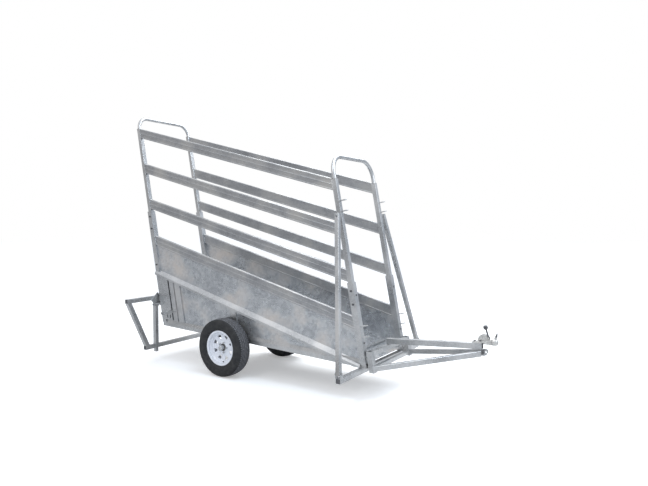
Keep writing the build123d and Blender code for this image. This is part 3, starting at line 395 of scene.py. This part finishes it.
def tyre(side, word):
    """Tyre section (y, r) carried round the axle; the tread is pressed in by tread_depth."""
    low, high = (np.array(c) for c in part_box("tyre_" + word))
    centre, outer = (low + high) / 2, (high[2] - low[2]) / 2
    wall = smooth_through([(0.0600, 0.1822), (0.0640, 0.1960), (0.0745, 0.2020), (0.0850, 0.2180),
                           (0.0905, 0.2350),
                           (0.0924, 0.2520), (0.0918, 0.2720), (0.0880, 0.2900), (0.0815, 0.3050),
                           (0.0740, 0.3150), (0.0690, 0.3185)], 4)
    band = np.exp(-((wall[:, 1] - 0.2960) / 0.0030) ** 2) + np.exp(-((wall[:, 1] - 0.2230) / 0.0026) ** 2)
    wall[:, 0] -= 0.0012 * (1 - np.clip(band, 0, 1)) * (wall[:, 1] > 0.212) * (wall[:, 1] < 0.304)
    y = np.linspace(0.068, -0.068, 68)
    crown = np.stack([y, 0.3249 - 0.0062 * (y / 0.068) ** 2], axis=1)
    across = np.linspace(-0.050, 0.050, 9)
    lining = np.stack([across, 0.296 - 20 * across ** 2], axis=1)
    far_wall = wall[::-1] * (-1, 1)
    inner = np.concatenate([[(-0.050, 0.1822), (-0.062, 0.214), (-0.076, 0.252)], lining,
                            [(0.076, 0.252), (0.062, 0.214), (0.050, 0.1822)]])
    section = np.concatenate([wall, crown, far_wall, inner])
    angle = np.linspace(0, 2 * np.pi, 600, endpoint=False)[:, None]
    depth = tread_depth(section[None, :, 0], angle) * (section[None, :, 1] > 0.312)
    r = (section[None, :, 1] - depth) * (outer / 0.325)
    points = np.stack([centre[0] + r * np.sin(angle), centre[1] + side * section[None, :, 0] + 0 * r,
                       centre[2] + r * np.cos(angle)], axis=-1)
    made = piece("tyre_tread_" + word, "wheel_" + word, MATERIALS["tyre_rubber"],
                 [shell(points, ring=True)], crease=28.0)
    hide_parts("tyre_" + word)


def valve(side, word):
    """Rubber valve stem with its cap, standing out of the rim well beside a window."""
    low, high = (np.array(c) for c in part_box("rim_" + word))
    centre = (low + high) / 2
    foot = centre + (0.030, side * 0.012, -0.158)
    stem = [(0.0078, -0.006), (0.0078, 0.002), (0.0056, 0.006), (0.0048, 0.022), (0.0040, 0.023),
            (0.0040, 0.026),
            (0.0052, 0.027), (0.0052, 0.038), (0.0038, 0.040)]
    piece("valve_stem_" + word, "wheel_" + word, MATERIALS["tyre_rubber"],
          [turned_shape(foot, (-0.05, side, 0.18), stem, 24)])


# ---------------------------------------------------------------- rails and sheets
def bore_shade_ring(side, word):
    """Black dished ring round the hub cap, a dark piece of painted shade standing for the shadowed inside of
    the hub bore: closed section (r, h) carried round the axle.
    """
    low, high = (np.array(c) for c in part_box("rim_" + word))
    centre = (low + high) / 2 + (0.0, side * 0.0112, 0.0)
    section = np.array([(0.0412, 0.0), (0.0412, 0.0022), (0.0350, 0.0010), (0.0276, 0.0022), (0.0276, 0.0)])
    angle = np.linspace(0, 2 * np.pi, 64, endpoint=False)[:, None]
    r, h = section[None, :, 0], section[None, :, 1]
    points = np.stack([centre[0] + r * np.sin(angle), centre[1] + side * h + 0 * angle,
                       centre[2] + r * np.cos(angle)], axis=-1)
    piece("hub_bore_shade_" + word, "wheel_" + word, MATERIALS["axle_paint"],
          [shell(points, ring=True)])


def rolled_rail(node_name, body):
    """Roll-formed rail section (y, depth) with beaded edges and a middle rib, cut off by the posts."""
    low, high = (np.array(c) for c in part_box(node_name))
    rear, front = low[0] + LEAN * high[2], high[0] + LEAN * low[2]
    corner = (low[0], high[2])
    wide, deep = 0.040, RAIL_DEPTH
    y_out = high[1]
    corners = [(0.0, 0.0), (wide, 0.0), (wide, 0.017), (wide - 0.003, 0.021), (wide - 0.003, 0.052),
               (wide, 0.0545), (wide, 0.0605), (wide - 0.003, 0.063), (wide - 0.003, deep - 0.014),
                (wide, deep - 0.010),
               (wide, deep), (0.0, deep), (0.0, deep - 0.010), (0.002, deep - 0.014), (0.002, 0.017),
                (0.0, 0.013)]
    radii = [0.006, 0.0085, 0.0015, 0.0015, 0.001, 0.001, 0.001, 0.001, 0.0015, 0.0015, 0.0045, 0.0045,
             0.0015,
             0.0015, 0.0015, 0.0015]
    outline = fillet(corners, radii)
    skins = []
    for side, _ in SIDES:
        rows = [np.stack([x, np.full_like(x, 0) + side * (y_out - wide + outline[:, 0]), z], axis=-1)
                for x, z in (meet(base, corner, DECK_SLOPE, outline[:, 1]) for base in (rear, front))]
        skins.append(shell(np.array(rows)))
    made = piece(node_name + "_rolled", body, MATERIALS["galvanised_rail"], skins,
                 crease=30.0)
    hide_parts(node_name)
    beads = []
    for side, _ in SIDES:
        for base in (rear, front):
            for y, run in ((y_out - 0.0015, (0.008, deep - 0.006)),
                           (y_out - wide + 0.0015, (0.010, deep - 0.010))):
                ends = [meet(base, corner, DECK_SLOPE, d) for d in run]
                beads.append(weld_bead(*[(x, side * y, z) for x, z in ends]))
    piece(node_name + "_welds", body, MATERIALS["galvanised_tube"], beads)


def side_sheet(word, side):
    """Sheet between leaning ends: height runs from the deck line to the rail, with shallow cross-breaks."""
    low, high = (np.array(c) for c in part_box("side_sheet_" + word))
    rear, front = low[0] + LEAN * high[2], high[0] + LEAN * low[2]
    base = np.linspace(rear, front, 150)
    top = meet(base, (low[0], high[2]), DECK_SLOPE)[1]
    join = meet(base, (low[0], high[2]), DECK_SLOPE, SIDE_SHEET_DEPTH)[1]
    foot = np.maximum(join, meet(base, (high[0], low[2]), FRAME_SLOPE)[1])
    panel("side_sheet_" + word, side, base, top, foot, 2, 0.0036)


def skirt_sheet(word, side):
    """Triangular skirt between the deck line and the bottom rail, in two stretches."""
    low, high = (np.array(c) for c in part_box("skirt_sheet_" + word))
    rear, tip = low[0] + LEAN * high[2], high[0] + LEAN * low[2]
    base = np.linspace(rear, tip - 0.0005, 130)
    top = meet(base, (high[0], low[2]), DECK_SLOPE)[1]
    foot = np.minimum(top - 0.0001, meet(base, (high[0], low[2]), FRAME_SLOPE)[1])
    panel("skirt_sheet_" + word, side, base, top, foot, 3, 0.0028)


def panel(node_name, side, base, top, foot, bays, rise):
    """Closed sheet: y = face + rise * pyramid(u, v) in each bay + small waves, dying away at the edges."""
    low, high = (np.array(c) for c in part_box(node_name))
    face = (low[1] + high[1]) / 2
    v = np.linspace(0, 1, 36)[None]
    u = np.linspace(0, 1, len(base))[:, None]
    z = foot[:, None] * (1 - v) + top[:, None] * v
    x = base[:, None] - LEAN * z
    pyramid = np.minimum(1 - np.abs(2 * ((u * bays) % 1) - 1), 1 - np.abs(2 * v - 1))
    edge = np.minimum(1, 8 * np.minimum(v, 1 - v)) * np.minimum(1, 30 * np.minimum(u, 1 - u))
    waves = 0.0007 * np.sin(17 * x + 6 * z) + 0.0006 * np.sin(31 * x - 11 * z + 1.3)
    swell = -side * (rise * pyramid + waves * edge)
    outer = np.stack([x, face + side * SHEET_THICK / 2 + swell, z], axis=-1)
    inner = np.stack([x, face - side * SHEET_THICK / 2 + swell, z], axis=-1)
    skin = shell(np.concatenate([outer, inner[:, ::-1]], axis=1))
    made = piece(node_name + "_pressed", "ramp_body", MATERIALS["galvanised_sheet"],
                 [skin])
    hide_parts(node_name)


def rivets():
    """Low round heads along the rail edge of each side sheet, on both of its faces."""
    low, high = (np.array(c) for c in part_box("side_sheet_left"))
    rear, front = low[0] + LEAN * high[2], high[0] + LEAN * low[2]
    dome = [(0.0052, -0.001), (0.0052, 0.0006), (0.0042, 0.0020), (0.0022, 0.0029), (0.0004, 0.0031)]
    heads = []
    for side, _ in SIDES:
        for base in np.linspace(rear + 0.06, front - 0.06, 15):
            x, z = meet(base, (low[0], high[2]), DECK_SLOPE, 0.016)
            heads.append(turned_shape((x, side * high[1], z), (0, side, 0), dome, 14))
            heads.append(turned_shape((x, side * low[1], z), (0, -side, 0), dome, 14))
    piece("sheet_rivets", "ramp_body", MATERIALS["galvanised_tube"], heads)


# ---------------------------------------------------------------- tube ends
def square_plug(centre, side, wide, deep, radius=0.004):
    """Moulded plug pushed into a square tube along Y: rounded square rings, crowned face, recessed middle."""
    half_w, half_d = wide / 2, deep / 2
    outline = fillet([(-half_w, -half_d), (half_w, -half_d), (half_w, half_d), (-half_w, half_d)], radius)
    scale = np.array([0.93, 0.93, 1.0, 1.0, 0.97, 0.80, 0.70, 0.66, 0.05])
    depth = np.array([-0.020, -0.001, -0.0005, 0.0, 0.0015, 0.0022, 0.0012, -0.0010, -0.0010])
    ring = scale[:, None, None] * outline[None]
    y = np.broadcast_to(depth[:, None], ring.shape[:2])
    points = np.stack([centre[0] + ring[..., 0], centre[1] + side * y, centre[2] + ring[..., 1]], axis=-1)
    return shell(points)


def plugs():
    """Black plugs in the open ends of the cross tubes, just inside each mouth."""
    for node_name, body in (("outrigger_tube", "ramp_body"), ("stand_top_tube", "rear_stand"),
                            ("stand_bottom_tube", "rear_stand"), ("side_pegs", "ramp_body")):
        low, high = (np.array(c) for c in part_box(node_name))
        wall = 0.0026 if node_name == "side_pegs" else 0.0032
        size = high - low - 2 * wall
        skins = [square_plug(((low[0] + high[0]) / 2, side * (high[1] - 0.004), (low[2] + high[2]) / 2), side,
                             size[0], size[2], 0.003) for side, _ in SIDES]
        piece(node_name + "_plugs", body, MATERIALS["tyre_rubber"], skins)


# ---------------------------------------------------------------- stage, lights and camera
def studio():
    """Pale floor, even pale surroundings that darken towards the horizon, and four soft lights."""
    floor = bpy.data.meshes.new("floor")
    floor.from_pydata([(-40, -40, 0), (40, -40, 0), (40, 40, 0), (-40, 40, 0)], [], [(0, 1, 2, 3)])
    ground = bpy.data.objects.new("floor", floor)
    bpy.context.scene.collection.objects.link(ground)
    material, tree = blank("floor_pale")
    shader = tree.nodes["Principled BSDF"]
    direct = node(tree, "LightPath").outputs["Is Camera Ray"]
    tree.links.new(mix(tree, direct, (0.58, 0.58, 0.58), (0.90, 0.90, 0.90)), shader.inputs["Base Color"])
    tree.links.new(remap(tree, direct, 0.0, 1.0, 0.0, 0.30), shader.inputs["Emission Strength"])
    shader.inputs["Emission Color"].default_value = (1.0, 1.0, 1.0, 1.0)
    shader.inputs["Roughness"].default_value = 0.9
    shader.inputs["Specular IOR Level"].default_value = 0.1
    floor.materials.append(material)

    world = bpy.data.worlds.new("soft_studio")
    bpy.context.scene.world = world
    world.use_nodes = True
    tree = world.node_tree
    background = tree.nodes["Background"]
    way = node(tree, "SeparateXYZ", Vector=node(tree, "TexCoord").outputs["Generated"])
    height = remap(tree, way.outputs[2], -0.15, 0.75)
    around = mix(tree, height, (0.40, 0.39, 0.38), (0.94, 0.96, 1.0))
    cool = remap(tree, way.outputs[0], -0.6, 0.7)
    around = mix(tree, maths(tree, "MULTIPLY", cool, 0.5), around, (0.62, 0.74, 0.90))
    seen = node(tree, "LightPath").outputs["Is Camera Ray"]
    tree.links.new(mix(tree, seen, around, (1.0, 1.0, 1.0)), background.inputs["Color"])
    tree.links.new(remap(tree, seen, 0.0, 1.0, 0.98, 1.0), background.inputs["Strength"])

    for name, place, size, power, colour in (
            ("key_light", (0.0, -6.5, 6.5), 4.0, 90.0, (1.0, 0.98, 0.95)),
            ("top_light", (-0.5, 3.0, 6.5), 5.0, 330.0, (0.95, 0.98, 1.0)),
            ("race_light", (1.2, -0.6, 4.2), 1.2, 45.0, (0.70, 0.85, 1.0)),
            ("front_light", (6.0, 0.5, 5.0), 4.0, 120.0, (0.96, 0.98, 1.0))):
        lamp = bpy.data.lights.new(name, "AREA")
        lamp.size, lamp.energy, lamp.color = size, power, colour
        made = bpy.data.objects.new(name, lamp)
        made.location = place
        aim = np.array((0.2, 0.0, 1.0)) - np.array(place)
        made.rotation_mode = "QUATERNION"
        made.rotation_quaternion = Vector(aim).to_track_quat("-Z", "Y")
        bpy.context.scene.collection.objects.link(made)


def camera():
    """Standing off the coupling end on the right, a little above the side sheets."""
    lens = bpy.data.cameras.new("camera")
    lens.sensor_width = 36.0
    lens.lens = 30.34
    made = bpy.data.objects.new("camera", lens)
    made.location = (3.6252, -5.005, 1.758)
    made.rotation_euler = (radians(90 - 2.494), 0.0, radians(33.246))
    bpy.context.scene.collection.objects.link(made)
    bpy.context.scene.camera = made
    bpy.context.scene.view_settings.view_transform = "Standard"


# ---------------------------------------------------------------- the object
camera()
studio()
dress_cad_nodes()
for side, word in SIDES:
    tyre(side, word)
    valve(side, word)
    bore_shade_ring(side, word)
    side_sheet(word, side)
    skirt_sheet(word, side)
for rail in ("top_rails", "middle_rails", "low_rails"):
    rolled_rail(rail, "upper_cage")
rolled_rail("sheet_rails", "ramp_body")
rivets()
plugs()
